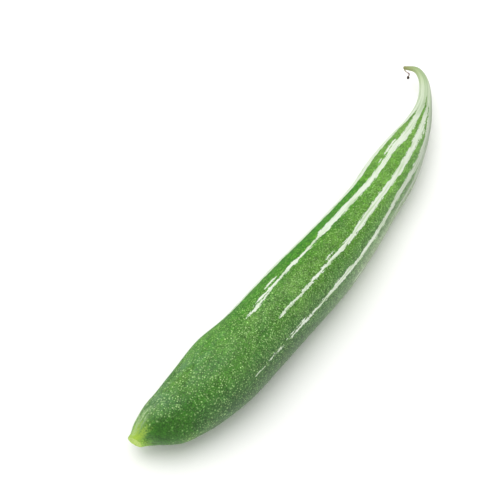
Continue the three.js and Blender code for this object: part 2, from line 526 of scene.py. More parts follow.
# %% Colours and values along the fruit
def colour_along(tree, position, stops):
    """A colour that changes along the fruit, from stops of distance in mm and colour."""
    made = add(tree, "ShaderNodeValToRGB", [position])
    elements = made.color_ramp.elements
    while len(elements) < len(stops):
        elements.new(1)
    for element, (distance, code) in zip(elements, stops):
        element.position = distance / LENGTH
        element.color = colour(code)
    return made


def value_along(points):
    """A value on the skin that follows points of distance in mm and value from 0 to 1."""
    made = add(skin, "ShaderNodeFloatCurve", {"Value": along_skin})
    made.mapping.extend = "HORIZONTAL"
    curve = made.mapping.curves[0]
    while len(curve.points) < len(points):
        curve.points.new(0.5, 0.5)
    for handle, (distance, value) in zip(curve.points, points):
        handle.location = (distance / LENGTH, value)
        handle.handle_type = "AUTO_CLAMPED"
    made.mapping.update()
    return made


print("tools for what changes along the fruit:", colour_along.__name__, value_along.__name__)

# %% [markdown]
# Three more tools work across the fruit. A side is a soft strip that runs its whole length at some
# angle from the top, such as a flank with painted shade. A region is a side that comes and goes
# along the fruit. The last tool stretches noise into streaks that run with the fibres.

# %% Sides, regions and streaks
def side(middle, full, gone):
    """A mask that is 1 within full degrees of an angle from the top, and 0 beyond gone degrees."""
    turned = add(skin, "ShaderNodeMath", [around_skin, middle / 360 + 0.5], operation="SUBTRACT")
    turned = add(skin, "ShaderNodeMath", [turned, 2 * math.pi], operation="MULTIPLY")
    nearness = add(skin, "ShaderNodeMath", [turned], operation="COSINE")
    edges = [math.cos(math.radians(degrees)) for degrees in (gone, full)]
    return add(skin, "ShaderNodeMapRange", [nearness, *edges])


def region(middle, full, gone, strength):
    """A side whose mask also follows points of distance in mm and strength from 0 to 1."""
    masks = [side(middle, full, gone), value_along(strength)]
    return add(skin, "ShaderNodeMath", masks, operation="MULTIPLY")


def drawn_out(width, length, **settings):
    """Noise in streaks that run with the fibres, of this width and length in mm."""
    size = (width, length, 1)
    stretched = add(skin, "ShaderNodeVectorMath", [fibre_place, size], operation="DIVIDE")
    return add(skin, "ShaderNodeTexNoise", {"Vector": stretched, "Scale": 1, **settings})


print("tools for what changes across it:", side.__name__, region.__name__, drawn_out.__name__)

# %% [markdown]
# ### The green under the stripes
#
# The green changes along the fruit: yellow-green at the stalk, deep on the thick end, and fresh
# towards the neck. Soft patches of a lighter and a bluer green lie over it, because no skin ripens
# evenly. Noise hovers round 0.5, so a patch that starts at 0.47 covers a bit over half the skin.

# %% The green along the fruit, and its patches
GREENS = [
    (0, "#9fc652"), (2, "#86b040"), (4.6, "#4f7f2b"), (9, "#3f7022"), (14, "#3a6a22"),
    (32, "#396c20"), (45, "#447629"), (60, "#4a7c2d"), (85, "#457529"), (130, "#437320"),
    (180, "#4c8023"), (210, "#5a8e2f"), (245, "#5d9130"), (274, "#67953a"), (290, "#5d8b2f"),
    (302, "#567d2e"),
]
# Each patch: its colour, width in mm and strength, and the noise where it starts and is full.
PATCHES = [("#7cab4e", 16, 0.35, 0.47, 0.66), ("#35682f", 12, 0.4, 0.5, 0.68)]
green = colour_along(skin, along_skin, GREENS)
for seed, (code, width, strength, start, full) in enumerate(PATCHES):
    noise = add(skin, "ShaderNodeTexNoise",
                {"Vector": in_space, "W": 1.7 + seed, "Scale": 1 / (width * MM), "Detail": 3},
                noise_dimensions="4D")
    patch = add(skin, "ShaderNodeMapRange", [noise, start, full, 0, strength])
    green = add(skin, "ShaderNodeMix", [patch, green, colour(code)], data_type="RGBA")
print(len(GREENS), "greens along the fruit and", len(PATCHES), "kinds of patch")

# %% [markdown]
# The green round the fruit is painted light and shade. The left flank is a deeper, purer green:
# painted reflection and shade. The right flank is greyer: painted shade. A pale grey-green on the
# lower right edge is a painted reflection of the white table, and a darker shoulder by the stalk is
# painted shade.

# %% Painted light and shade round the fruit
# Each side: its green, its angle, how far from it the strip is full and gone, and its strength at
# points along the fruit.
PAINTED_SIDE_GREENS = [
    # painted reflection and shade: a deeper, purer green on the left flank
    ("#2f7a00", -76, 42, 78,
     [(45, 0), (75, 0.5), (120, 0.7), (150, 0.9), (203, 0.9), (219, 0.1), (240, 0)]),
    # painted shade: a greyer green on the right flank
    ("#4f734a", 100, 15, 65, [(25, 0), (50, 0.8), (300, 0.8)]),
    # painted reflection of the white table: a pale grey-green on the lower right edge
    ("#9cad8c", 108, 18, 46, [(120, 0), (150, 0.3), (185, 0.75), (300, 0.75)]),
    # painted shade: a darker shoulder beside the stalk
    ("#2b5f12", 46, 20, 55,
     [(3, 0), (7, 0.7), (14, 0.95), (24, 0.85), (40, 0.35), (85, 0.3), (110, 0)]),
]
for code, middle, full, gone, strength in PAINTED_SIDE_GREENS:
    share = region(middle, full, gone, strength)
    green = add(skin, "ShaderNodeMix", [share, green, colour(code)], data_type="RGBA")
print(len(PAINTED_SIDE_GREENS), "greens round it")

# %% [markdown]
# ### Speckles
#
# The green is full of pale dots, where the skin breathes. They stand 2 to 3 mm apart on the thick
# end, and get smaller and closer along the fruit until they are only a grain. A Voronoi pattern
# scatters points evenly in space, and the distance to the nearest one draws round dots. It reads
# object coordinates, so the dots are as round on the neck as on the belly.

# %% Speckles in three sizes
# Each size: gap and radius in mm, and how strong it is at points along the fruit, in mm.
SPECKLES = [
    (2.2, 0.64, [(7, 0), (13, 1), (36, 1), (55, 0.4), (75, 0)]),
    (1.2, 0.42, [(12, 0), (26, 1), (75, 1), (110, 0.6), (165, 0)]),
    (0.9, 0.38, [(50, 0), (100, 0.6), (180, 0.7), (235, 0.6), (285, 0)]),
]
SPECKLE = "#aed488"
speckles = 0
for gap, radius, strength in SPECKLES:
    scattered = add(skin, "ShaderNodeTexVoronoi", {"Vector": in_space, "Scale": 1 / (gap * MM)})
    dot = add(skin, "ShaderNodeMapRange", [scattered, radius / gap, 0.5 * radius / gap])
    pick = add(skin, "ShaderNodeSeparateXYZ", [scattered.outputs["Color"]])
    uneven = add(skin, "ShaderNodeMapRange", [pick, 0, 1, 0.3, 1])
    for mask in (uneven, value_along(strength)):
        dot = add(skin, "ShaderNodeMath", [dot, mask], operation="MULTIPLY")
    speckles = add(skin, "ShaderNodeMath", [dot, speckles], operation="MAXIMUM")
# Where dots are lost: a side's middle, how far it is full and reaches, and the share lost along it.
LOST = [
    (-78, 22, 60, [(0, 0.15)]),
    (52, 22, 48, [(8, 0.9), (16, 0.8), (28, 0.6), (40, 0.3), (55, 0)]),
]
for middle, full, gone, share in LOST:
    kept = add(skin, "ShaderNodeMath", [1, region(middle, full, gone, share)], operation="SUBTRACT")
    speckles = add(skin, "ShaderNodeMath", [speckles, kept], operation="MULTIPLY")
green = add(skin, "ShaderNodeMix", [speckles, green, colour(SPECKLE)], data_type="RGBA")
print(len(SPECKLES), "sizes of speckle")

# %% [markdown]
# Between the dots the skin has a fine grain of lighter and darker cells. It is about half a
# millimetre wide in nature, and is drawn slightly coarser so that it shows. A wider, weaker grain
# mottles it.

# %% Grain
GRAINS = [(0.8, 0.44), (3.2, 0.2)]        # width in mm and contrast
for width, contrast in GRAINS:
    grain = add(skin, "ShaderNodeTexNoise",
                {"Vector": in_space, "Scale": 1 / (width * MM), "Detail": 2})
    grain_level = add(skin, "ShaderNodeMapRange", [grain, 0.3, 0.7, 1 - contrast, 1 + contrast])
    green = add(skin, "ShaderNodeHueSaturation", {"Value": grain_level, "Color": green})
print(len(GRAINS), "grains, the finer", GRAINS[0][0], "mm wide")

# %% [markdown]
# Painted light lies over the dots and the grain too, as tints that multiply. On the left flank a
# yellow tint takes some blue from all of them alike: painted reflection and shade. On the right
# flank a grey tint is painted shade.

# %% Painted reflection and shade on the two flanks
# Each flank: its tint, its angle, how far from it the strip is full and gone, and its strength at
# points along the fruit.
PAINTED_FLANK_TINTS = [
    # painted reflection and shade: a yellow tint on the left flank
    ("#ecff9c", -76, 42, 80,
     [(35, 0), (65, 0.35), (120, 0.5), (150, 1), (206, 1), (222, 0.4), (245, 0)]),
    # painted shade: a grey tint on the right flank
    ("#c6c8c6", 100, 20, 60, [(20, 0), (45, 0.6), (90, 0.8), (130, 0.45), (170, 0.2), (300, 0.2)]),
]
for code, middle, full, gone, strength in PAINTED_FLANK_TINTS:
    share = region(middle, full, gone, strength)
    green = add(skin, "ShaderNodeMix", [share, green, colour(code)],
                data_type="RGBA", blend_type="MULTIPLY")
print(len(PAINTED_FLANK_TINTS), "casts")

# %% [markdown]
# A whitish veil lies on the upper left of the thick end, drawn out along the fruit. It is partly a
# bloom of wax, where nothing has rubbed it off, and partly a painted sheen of the light from above.

# %% Wax bloom and painted sheen
WAX_VEIL_AND_SHEEN = "#779f7e"
VEIL_AND_SHEEN_STREAKS = (6, 14)       # mm wide and long
VEIL_AND_SHEEN_STRENGTH = 0.4
VEIL_AND_SHEEN_SIDE = (-40, 20, 62)    # degrees: its middle, and how far it is full and reaches
VEIL_AND_SHEEN_ALONG = [(12, 0), (22, 0.8), (48, 0.7), (75, 0)]
# partly wax bloom, partly a painted sheen on the upper left of the thick end
veil_and_sheen = drawn_out(*VEIL_AND_SHEEN_STREAKS, Detail=5, Roughness=0.65)
veil_and_sheen = add(skin, "ShaderNodeMapRange", [veil_and_sheen, 0.42, 0.68, 0, VEIL_AND_SHEEN_STRENGTH])
veil_and_sheen_region = region(*VEIL_AND_SHEEN_SIDE, VEIL_AND_SHEEN_ALONG)
veil_and_sheen = add(skin, "ShaderNodeMath", [veil_and_sheen, veil_and_sheen_region], operation="MULTIPLY")
green = add(skin, "ShaderNodeMix", [veil_and_sheen, green, colour(WAX_VEIL_AND_SHEEN)], data_type="RGBA")
print("the green took", len(skin.nodes), "nodes")

# %% [markdown]
# ### Stripes
#
# Ten pale stripes run down from the neck. They start broad, narrow as they go, and end in frayed
# streaks at different places. Each is a short list of points: distance from the stalk, angle from
# the top, and width. A width below nothing means that there is no stripe yet. Two curves smooth
# each list, and the skin's distance from the nearest edge comes out in millimetres.
#
# A painted image would be easier, but it would blur close up and could never be changed.

# %% The stripes, each as distance in mm, angle in degrees from the top, and width in mm
STRIPES = [
    [(82, -10.5, -3), (91, -10.5, 1.1), (98, -11, 1.4), (106, -12, 1.2), (115, -13, -2)],
    [(92, -16, -3), (101, -16.5, 0.7), (108, -15.5, 1.4), (125, -16, 1.3), (132, -16.5, 2.2),
     (140, -16, 1.3), (151, -16.5, 1.4), (158, -18, 2.6), (164, -19.5, 4.4), (185, -19, 4.2),
     (200, -17, 3.7), (225, -11, 3.3), (236, -9, 2.9), (247, -9.5, 3.8), (257, -4.2, 4),
     (269, -4.8, 3.9), (283, -8, 3.3), (300, -10.5, 3.3), (308, -11, 3.3)],
    [(97, 27.5, -3), (104, 27.5, 1.1), (113, 27.5, 1), (122, 27.5, 1), (131, 26.5, 1.5),
     (146, 25.5, 1.6), (156, 26.5, 2.4), (164, 26.5, 2.2), (185, 25, 3), (200, 24, 3.3),
     (220, 27, 3), (236, 29, 3.5), (257, 29.5, 3.5), (270, 28.5, 3.5), (285, 27.5, 2.3),
     (300, 28, 1.7), (308, 28, 2)],
    [(64, 65, -3), (71, 64.5, 0.3), (78, 63.5, -2), (92, 62.5, -2.5), (98, 63, 0.8),
     (108, 63.5, 1.2), (118, 64, 1.2), (129, 63, 1.3), (142, 62, 2.6), (152, 61, 2.9),
     (161, 63, 1.8), (175, 63, 2.2), (190, 62.5, 2.4), (205, 60.5, 2.5), (225, 58, 2.9),
     (238, 58.5, 3.2), (250, 63, 4.3), (270, 63, 4), (285, 57, 4), (300, 57, 4.4)],
    [(150, 88, -2.5), (172, 86, -0.6), (205, 83, 0.2), (222, 81.5, 1.4), (236, 80, 2.4),
     (250, 83, 4.2), (280, 89, 3.4), (300, 90, 3)],
    [(74, -61, -3), (88, -58, 1.6), (104, -56.5, 3.6), (130, -55.5, 5), (180, -55, 5.4),
     (210, -54.5, 5.6), (240, -53.5, 5.8), (262, -52, 5.1), (274, -51, 4.4), (284, -50, 4.9),
     (291, -43, 6.5)],
]
print(len(STRIPES), "runs of stripe on the upper side")

# %% [markdown]
# The underside and the back have five more, as far apart as the others.

# %% The stripes of the underside and the back
STRIPES += [
    [(80, 118, -3), (98, 119, 0.8), (140, 122, 2.2), (165, 119, 1.8), (210, 118, 3),
     (235, 121, 3.6), (260, 121, 3.4), (300, 122, 3)],
    [(106, 157, -3), (120, 156, 1), (150, 152, 1.6), (176, 154, 3.4), (225, 157, 2.6),
     (260, 155, 3.2), (300, 154, 3)],
    [(78, -171, -3), (96, -170, 1.4), (118, -169, 1.2), (150, -168, 2.8), (200, -172, 2.6),
     (260, -171, 3.6), (300, -172, 3)],
    [(98, -134, -3), (112, -135, 1.2), (135, -132, 2.2), (160, -133, 4), (190, -135, 3),
     (215, -136, 2.6), (260, -133, 3.6), (300, -134, 3)],
    [(68, -99, -3), (84, -98, 0.6), (98, -99, 1.8), (120, -100, 1.6), (140, -100, 2.6),
     (190, -97, 4.2), (220, -95, 3), (260, -96, 3.8), (300, -97, 3)],
]
print(len(STRIPES), "runs of stripe in all")

# %% [markdown]
# Some bundles of fibres turned pale on their own, beside a stripe or before it starts. These flecks
# are stripes too, each with a single width and a short stretch to come and go.

# %% Loose flecks
# Each fleck: where it starts and ends in mm, its angle and its width.
FLECKS = [
    (112, 118, -23.5, 1), (148, 152, 19, 0.4), (232, 233, -20.5, 0.5), (240, 251, -20.5, 1.4),
    (261, 268, 38, 0.7), (266, 272, 42.5, 0.6), (96, 110, 59.6, 0.5),
    (156, 168, 94, 0.5), (120, 136, -92, 0.8),
    (80, 84, 62, 0.5), (87, 90, 62.5, 0.6),
    (150, 163, 126, 0.7), (104, 116, -128, 0.6), (182, 196, 66, 0.5), (150, 158, -142, 0.9),
]
NO_STRIPE = -4         # mm, the width that keeps a stripe's frayed edge off the skin
FLECK_FADE = 4         # mm over which a fleck comes and goes
for start, end, at_angle, width in FLECKS:
    STRIPES.append([(start - FLECK_FADE, at_angle, NO_STRIPE), (start, at_angle, width),
                    (end, at_angle, width), (end + FLECK_FADE, at_angle, NO_STRIPE)])
print(len(STRIPES), "stripes and flecks")

# %% [markdown]
# A curve node only holds values from 0 to 1, so angles are written as shares of a turn, counted
# from the seam at the belly, and widths as shares of a range that reaches below nothing. The
# distance round the fruit is the shorter way, which a ping-pong gives, times the girth there.

# %% The distance to the nearest stripe's edge
WIDTH_RANGE = (NO_STRIPE, 8)         # mm that 0 and 1 stand for on a width curve
low, high = WIDTH_RANGE
nearest = 100                        # mm, far from any stripe
for points in STRIPES:
    centre = value_along([(distance, at / 360 + 0.5) for distance, at, _ in points])
    width = value_along([(distance, (wide - low) / (high - low)) for distance, _, wide in points])
    offset = add(skin, "ShaderNodeMath", [around_skin, centre], operation="SUBTRACT")
    offset = add(skin, "ShaderNodeMath", [offset, 0.5], operation="PINGPONG")
    offset = add(skin, "ShaderNodeMath", [offset, turn_mm], operation="MULTIPLY")
    half_width = add(skin, "ShaderNodeMapRange", [width, 0, 1, low / 2, high / 2])
    edge = add(skin, "ShaderNodeMath", [offset, half_width], operation="SUBTRACT")
    nearest = add(skin, "ShaderNodeMath", [edge, nearest], operation="MINIMUM")
print("with the stripes there are", len(skin.nodes), "nodes")

# %% [markdown]
# A stripe's edge is frayed in steps, because it follows bundles of fibres that end at different
# places. Long thin Voronoi cells, each with a random value, push the edge in and out one bundle at
# a time, and a finer noise roughens what is left.

# %% Fray the edges
BUNDLE = (0.7, 3.4)         # mm, a fibre bundle's width and length
BUNDLE_FRAY = 0.95          # mm that a bundle may move the edge
FINE_WIDTH = 0.9            # mm, how wide the finer noise is
FINE_FRAY = 0.9             # mm that it may move the edge
EDGE_SOFTNESS = 0.16        # mm over which a stripe's edge blends into the green
bundle_place = add(skin, "ShaderNodeVectorMath", [fibre_place, (*BUNDLE, 1)], operation="DIVIDE")
bundles = add(skin, "ShaderNodeTexVoronoi",
              {"Vector": bundle_place, "Scale": 1}, voronoi_dimensions="2D")
bundle_value = add(skin, "ShaderNodeSeparateXYZ", [bundles.outputs["Color"]])
fray = add(skin, "ShaderNodeMapRange", [bundle_value, 0, 1, -BUNDLE_FRAY / 2, BUNDLE_FRAY / 2])
rough = add(skin, "ShaderNodeTexNoise",
            {"Vector": in_space, "Scale": 1 / (FINE_WIDTH * MM), "Detail": 3})
rough = add(skin, "ShaderNodeMapRange", [rough, 0.25, 0.75, -FINE_FRAY / 2, FINE_FRAY / 2])
frayed = add(skin, "ShaderNodeMath", [nearest, fray], operation="ADD")
frayed = add(skin, "ShaderNodeMath", [frayed, rough], operation="ADD")
print("an edge wanders by up to", round((BUNDLE_FRAY + FINE_FRAY) / 2, 2), "mm")

# %% [markdown]
# The stripes widen into each other until no green is left between them on the neck.

# %% Green and pale tissue apart
NECK_PALE = [(302, 0), (313, 1)]     # mm along where the last green goes
NECK_CLOSING = 3                     # mm that the stripes' edges move out over that stretch
closing = value_along(NECK_PALE)
closing = add(skin, "ShaderNodeMath", [closing, NECK_CLOSING], operation="MULTIPLY")
past_green = add(skin, "ShaderNodeMath", [frayed, closing], operation="SUBTRACT")
is_pale = add(skin, "ShaderNodeMapRange", [past_green, EDGE_SOFTNESS, -EDGE_SOFTNESS])
print("no green is left past", NECK_PALE[-1][0], "mm along")

# %% [markdown]
# The pale tissue isn't white. It shows faint green fibres on the body. Up the neck the skin is thin
# and pale all round, with broad streaks of green and cream. The tip is olive and dries to brown.

# %% The pale tissue of the stripes and the neck
PALES = [
    (0, "#dae4d4"), (255, "#d7e0ce"), (290, "#d0dac6"), (312, "#d2dcc4"), (322, "#bccba2"),
    (330, "#a3b07c"), (336, "#8f8a52"), (337.9, "#7f6d45"),
]
FIBRE_TINT = "#a3bf8a"
FIBRE_STREAKS = (1.2, 20)     # mm wide and long
FIBRE_STRENGTH = 0.65
pale = colour_along(skin, along_skin, PALES)
fibres = drawn_out(*FIBRE_STREAKS, Detail=3)
fibre_share = add(skin, "ShaderNodeMapRange", [fibres, 0.47, 0.66, 0, FIBRE_STRENGTH])
pale = add(skin, "ShaderNodeMix", [fibre_share, pale, colour(FIBRE_TINT)], data_type="RGBA")
print(len(PALES), "pale colours along the fruit")

# %% [markdown]
# The neck's streaks are much broader than the fibres, and greenest on the back of its bend. The
# pale tissue on the right flank, from the middle of the body to the tip, is darkened as painted
# shade, by a tint that multiplies.

# %% Streaks on the neck, and painted shade on the right flank
NECK_TINT = "#8fa97a"
NECK_STREAKS = (6, 50)        # mm wide and long
NECK_STRENGTH = 0.6
STREAKS_ALONG = [(280, 0), (303, 0.8), (328, 0.6)]
GREENER_SIDE = (12, 10, 42)   # degrees: its middle, and how far it is full and reaches
GREENER_ALONG = [(283, 0), (292, 0.3), (312, 0.1), (325, 0.4), (334, 0)]
# painted shade on the pale tissue of the right flank
PAINTED_SHADE_ON_PALE = "#c2c6c2"
PAINTED_SHADE_ON_PALE_SIDE = (100, 20, 60)
PAINTED_SHADE_ON_PALE_ALONG = [(180, 0), (240, 0.9), (320, 1)]
streaks = drawn_out(*NECK_STREAKS, Detail=3)
streak_share = add(skin, "ShaderNodeMapRange", [streaks, 0.42, 0.6, 0, NECK_STRENGTH])
streaked = value_along(STREAKS_ALONG)
streak_share = add(skin, "ShaderNodeMath", [streak_share, streaked], operation="MULTIPLY")
greener = region(*GREENER_SIDE, GREENER_ALONG)
streak_share = add(skin, "ShaderNodeMath", [streak_share, greener], operation="ADD")
pale = add(skin, "ShaderNodeMix", [streak_share, pale, colour(NECK_TINT)], data_type="RGBA")
painted_shade_on_pale = region(*PAINTED_SHADE_ON_PALE_SIDE, PAINTED_SHADE_ON_PALE_ALONG)
pale = add(skin, "ShaderNodeMix", [painted_shade_on_pale, pale, colour(PAINTED_SHADE_ON_PALE)],
           data_type="RGBA", blend_type="MULTIPLY")
striped = add(skin, "ShaderNodeMix", [is_pale, green, pale], data_type="RGBA")
print("streaks of", NECK_STREAKS, "mm on the neck")

# %% [markdown]
# ### The stalk end
#
# The stalk flares into the fruit in a fresh yellow-green. It reaches further along the top than
# along the sides, and fine whitish wrinkles run from it into the green. It could be a piece of its
# own, but stalk and fruit are one growth, so it is a colour on the same skin. Noise breaks up its
# edge, because a straight one would look dipped in paint.

# %% Yellow-green flare
FLARE = ("#9aba3e", "#7ea544")
FLARE_RIDGE = (-12, 27, 50)   # degrees: its middle, and how far it is full and reaches
FLARE_REACH = (0, 8.5)        # mm from the cut, on the sides and along its own ridge
FLARE_WANDER = 3              # mm that its edge wanders with the wrinkles
FLARE_MOTTLE = 8              # how much the stripes' finer noise breaks the edge up
WRINKLE_STREAKS = (3, 5)      # mm wide and long
on_ridge = side(*FLARE_RIDGE)
wrinkles = drawn_out(*WRINKLE_STREAKS, Detail=4, Roughness=0.6)
wander = add(skin, "ShaderNodeMapRange", [wrinkles, 0.3, 0.7, -FLARE_WANDER, FLARE_WANDER])
past_flare = add(skin, "ShaderNodeMath", [along_skin, LENGTH], operation="MULTIPLY")
reach = add(skin, "ShaderNodeMapRange", [on_ridge, 0, 1, *FLARE_REACH])
past_flare = add(skin, "ShaderNodeMath", [past_flare, reach], operation="SUBTRACT")
past_flare = add(skin, "ShaderNodeMath", [past_flare, wander], operation="ADD")
past_flare = add(skin, "ShaderNodeMath",
                 [rough, FLARE_MOTTLE, past_flare], operation="MULTIPLY_ADD")
is_flare = add(skin, "ShaderNodeMapRange", [past_flare, 3.5, -3, 0, 0.9])
darker = add(skin, "ShaderNodeMapRange", [past_flare, -7, 1])
flare = add(skin, "ShaderNodeMix", [darker, *(colour(code) for code in FLARE)], data_type="RGBA")
flared = add(skin, "ShaderNodeMix", [is_flare, striped, flare], data_type="RGBA")
print("the flare reaches", FLARE_REACH[1], "mm along its ridge")

# %% [markdown]
# The wrinkles are fine folds where the skin dried round the stalk, and their crests are whitish.
# The noise that moved the flare's edge draws them too, so that the two run together.

# %% Whitish wrinkles
WRINKLE_TINT = "#bfd8a4"
WRINKLE_SIDE = (-54, 25, 52)  # degrees: its middle, and how far it is full and reaches
WRINKLES_ALONG = [(1, 0), (4, 0.8), (11, 0.9), (15, 0.45), (26, 0)]
wrinkle_share = add(skin, "ShaderNodeMapRange", [wrinkles, 0.44, 0.6, 0.15, 0.9])
broken = add(skin, "ShaderNodeMapRange", [rough, -0.25, 0.2, 0.45, 1])
for mask in (broken, region(*WRINKLE_SIDE, WRINKLES_ALONG)):
    wrinkle_share = add(skin, "ShaderNodeMath", [wrinkle_share, mask], operation="MULTIPLY")
skin_colour = add(skin, "ShaderNodeMix",
                  [wrinkle_share, flared, colour(WRINKLE_TINT)], data_type="RGBA")
fill(skin, skin_shader, {"Base Color": skin_colour})
print("the rind's colour took", len(skin.nodes), "nodes")

# %% [markdown]
# ### Wax and relief
#
# Plant wax has an IOR close to 1.45, and this skin is satin. The dry pale stripes are a little
# rougher than the green, and so is the flank that hung in the sun, where the wax has weathered. The
# relief is what fingers would feel: a fine orange peel, and dots that stand up by a few hundredths
# of a millimetre. It is too shallow to change the outline, so a bump map is enough for it.

# %% Gloss and relief
WAX_IOR = 1.45
WAX_SPECULAR = 0.3            # less than a plain surface's 0.5, because the bloom scatters light
ROUGHNESS = (0.4, 0.5)        # of the green and of the pale stripes
WEATHERED_SIDE = (-85, 40, 110)
WEATHERING = 0.3              # how much rougher that side is
PEEL_WIDTH = 1.6              # mm
RELIEF_HEIGHT = 0.06          # mm
roughness = add(skin, "ShaderNodeMapRange", [is_pale, 0, 1, *ROUGHNESS])
weathered = add(skin, "ShaderNodeMapRange", [side(*WEATHERED_SIDE), 0, 1, 0, WEATHERING])
roughness = add(skin, "ShaderNodeMath", [roughness, weathered], operation="ADD")
peel = add(skin, "ShaderNodeTexNoise",
           {"Vector": in_space, "Scale": 1 / (PEEL_WIDTH * MM), "Detail": 2})
relief = add(skin, "ShaderNodeMath", [speckles, peel], operation="ADD")
bump = add(skin, "ShaderNodeBump",
           {"Strength": 0.6, "Distance": RELIEF_HEIGHT * MM, "Height": relief})
fill(skin, skin_shader, {"IOR": WAX_IOR, "Specular IOR Level": WAX_SPECULAR,
                         "Roughness": roughness, "Normal": bump})
print(rind.name, "has", len(skin.nodes), "nodes")

# %% [markdown]
# ## The cut face
#
# The knife leaves wet pith that dries within a day. It is pale green in the middle, with a ring of
# darker bundles that carried water, and corky at the rim. It has no wax, so it is matt. The bundles
# could be modelled one by one, but they lie flush with the face, so a pattern draws them. It reads
# the skin's own coordinates, in which a ring is one value of the girth.

# %% Cut stalk
pith, pith_tree, pith_shader = new_material("cut_stalk_pith_dried")
PITH = "#b9d56c"
CORK = "#a8c653"
BUNDLE_GREEN = "#9dbd55"
BUNDLE_RING = 0.62                 # the ring's radius as a share of the face's
STALK_BUNDLES = 10
CRUMB_WIDTH = 0.6                  # mm
pith_shares = add(pith_tree, "ShaderNodeUVMap", uv_map="skin")
on_pith = add(pith_tree, "ShaderNodeSeparateXYZ", [pith_shares])
face_girth = add(pith_tree, "ShaderNodeAttribute", attribute_name="girth").outputs["Fac"]
share_out = add(pith_tree, "ShaderNodeMath", [face_girth, RIM_RADIUS], operation="DIVIDE")
from_ring = add(pith_tree, "ShaderNodeMath", [share_out, BUNDLE_RING], operation="SUBTRACT")
from_ring = add(pith_tree, "ShaderNodeMath", [from_ring], operation="ABSOLUTE")
wave = add(pith_tree, "ShaderNodeMath", [on_pith.outputs["X"], 2 * math.pi * STALK_BUNDLES],
           operation="MULTIPLY")
wave = add(pith_tree, "ShaderNodeMath", [wave], operation="COSINE")
wave = add(pith_tree, "ShaderNodeMapRange", [wave, -0.2, 0.9, 0, 0.17])
in_bundle = add(pith_tree, "ShaderNodeMath", [wave, from_ring], operation="SUBTRACT")
in_bundle = add(pith_tree, "ShaderNodeMapRange", [in_bundle, 0, 0.08, 0, 0.8])
pith_place = add(pith_tree, "ShaderNodeTexCoord").outputs["Object"]
crumbs = add(pith_tree, "ShaderNodeTexNoise",
             {"Vector": pith_place, "Scale": 1 / (CRUMB_WIDTH * MM), "Detail": 3})
level = add(pith_tree, "ShaderNodeMapRange", [crumbs, 0.3, 0.7, 0.8, 1.15])
face = add(pith_tree, "ShaderNodeMix",
           [in_bundle, colour(PITH), colour(BUNDLE_GREEN)], data_type="RGBA")
corky = add(pith_tree, "ShaderNodeMapRange", [share_out, 0.8, 1, 0, 0.7])
face = add(pith_tree, "ShaderNodeMix", [corky, face, colour(CORK)], data_type="RGBA")
face = add(pith_tree, "ShaderNodeHueSaturation", {"Value": level, "Color": face})
pith_bump = add(pith_tree, "ShaderNodeBump",
                {"Strength": 0.8, "Distance": 0.15 * MM, "Height": crumbs})
fill(pith_tree, pith_shader, {"Base Color": face, "Roughness": 0.8, "Normal": pith_bump})
print(pith.name, "has", len(pith_tree.nodes), "nodes")

# %% [markdown]
# ## Grow the fruit
#
# Both materials exist, so the sweep can run.

# %% Sweep the fruit
grow(fruit, sweep, skin=rind, cut_face=pith)

# %% [markdown]
# ## The withered thread
#
# The flower dried up on the tip of the fruit. A thread of it is left, with a knee in the middle and
# a shrivelled knot at its end. It is swept like the fruit, but along a path with the tree's own
# curve nodes, because its sections do stand square to it.

# %% The thread's path and thickness
# Each point: x, y and z in millimetres, and the thread's radius there.
THREAD_PATH = [
    (155.6, 28.8, 13.4, 0.5), (155.5, 28.5, 12.6, 0.42), (155.3, 27.8, 11.9, 0.36),
    (155.4, 26.5, 11.3, 0.34), (155.35, 25.3, 10.95, 0.52), (155.1, 24.85, 10.3, 0.5),
    (154.9, 24.95, 9.6, 0.34), (154.8, 25.1, 9.0, 0.5), (154.7, 25.2, 8.4, 0.98),
    (154.7, 25.2, 7.6, 1.0), (154.7, 25.2, 6.9, 0.6), (154.7, 25.2, 6.6, 0.15),
]
path = smooth_line(THREAD_PATH, 14)
path_arc = arc_lengths(path[:, :3])
path_mesh = attribute_mesh(
    "gourd_thread_path", path[:, :3] * MM, thickness=path[:, 3] * MM, along=path_arc / path_arc[-1])
thread = bpy.data.objects.new("gourd_withered_thread", path_mesh)
bpy.context.scene.collection.objects.link(thread)
print("the thread is", round(path_arc[-1], 1), "mm long")

# %% [markdown]
# Dried plant tissue shrinks between its fibres, so the section isn't round: it is ridged, and it
# wrinkles along its length. The ridges come from the profile, and the wrinkles from noise that
# pulls the surface in.

# %% A tree that sweeps dried tissue
DRIED_INPUTS = {
    "Path": ("NodeSocketGeometry", None),
    "Sides": ("NodeSocketInt", 24),
    "Ridges": ("NodeSocketInt", 5),
    "Ridge depth": ("NodeSocketFloat", 0.25),
    "Wrinkle depth": ("NodeSocketFloat", 0.35),
    "Wrinkle width": ("NodeSocketFloat", 0.5 * MM),
    "Tissue": ("NodeSocketMaterial", None),
}
dried, wanted = new_tree("Sweep dried thread", DRIED_INPUTS, "Dried mesh")
ring = add(dried, "GeometryNodeCurvePrimitiveCircle", {"Resolution": wanted["Sides"], "Radius": 1})
wave = add(dried, "ShaderNodeMath",
           [add(dried, "GeometryNodeSplineParameter"), 2 * math.pi], operation="MULTIPLY")
wave = add(dried, "ShaderNodeMath", [wave, wanted["Ridges"]], operation="MULTIPLY")
wave = add(dried, "ShaderNodeMath", [wave], operation="COSINE")
inner = add(dried, "ShaderNodeMath", [1, wanted["Ridge depth"]], operation="SUBTRACT")
ridge_scale = add(dried, "ShaderNodeMapRange", [wave, -1, 1, inner, 1])
ridged_place = add(dried, "ShaderNodeVectorMath",
                   [add(dried, "GeometryNodeInputPosition"), ridge_scale], operation="SCALE")
profile = add(dried, "GeometryNodeSetPosition", {"Geometry": ring, "Position": ridged_place})
thickness = add(dried, "GeometryNodeInputNamedAttribute", {"Name": "thickness"}, data_type="FLOAT")
spine = add(dried, "GeometryNodeMeshToCurve", {"Mesh": wanted["Path"]})
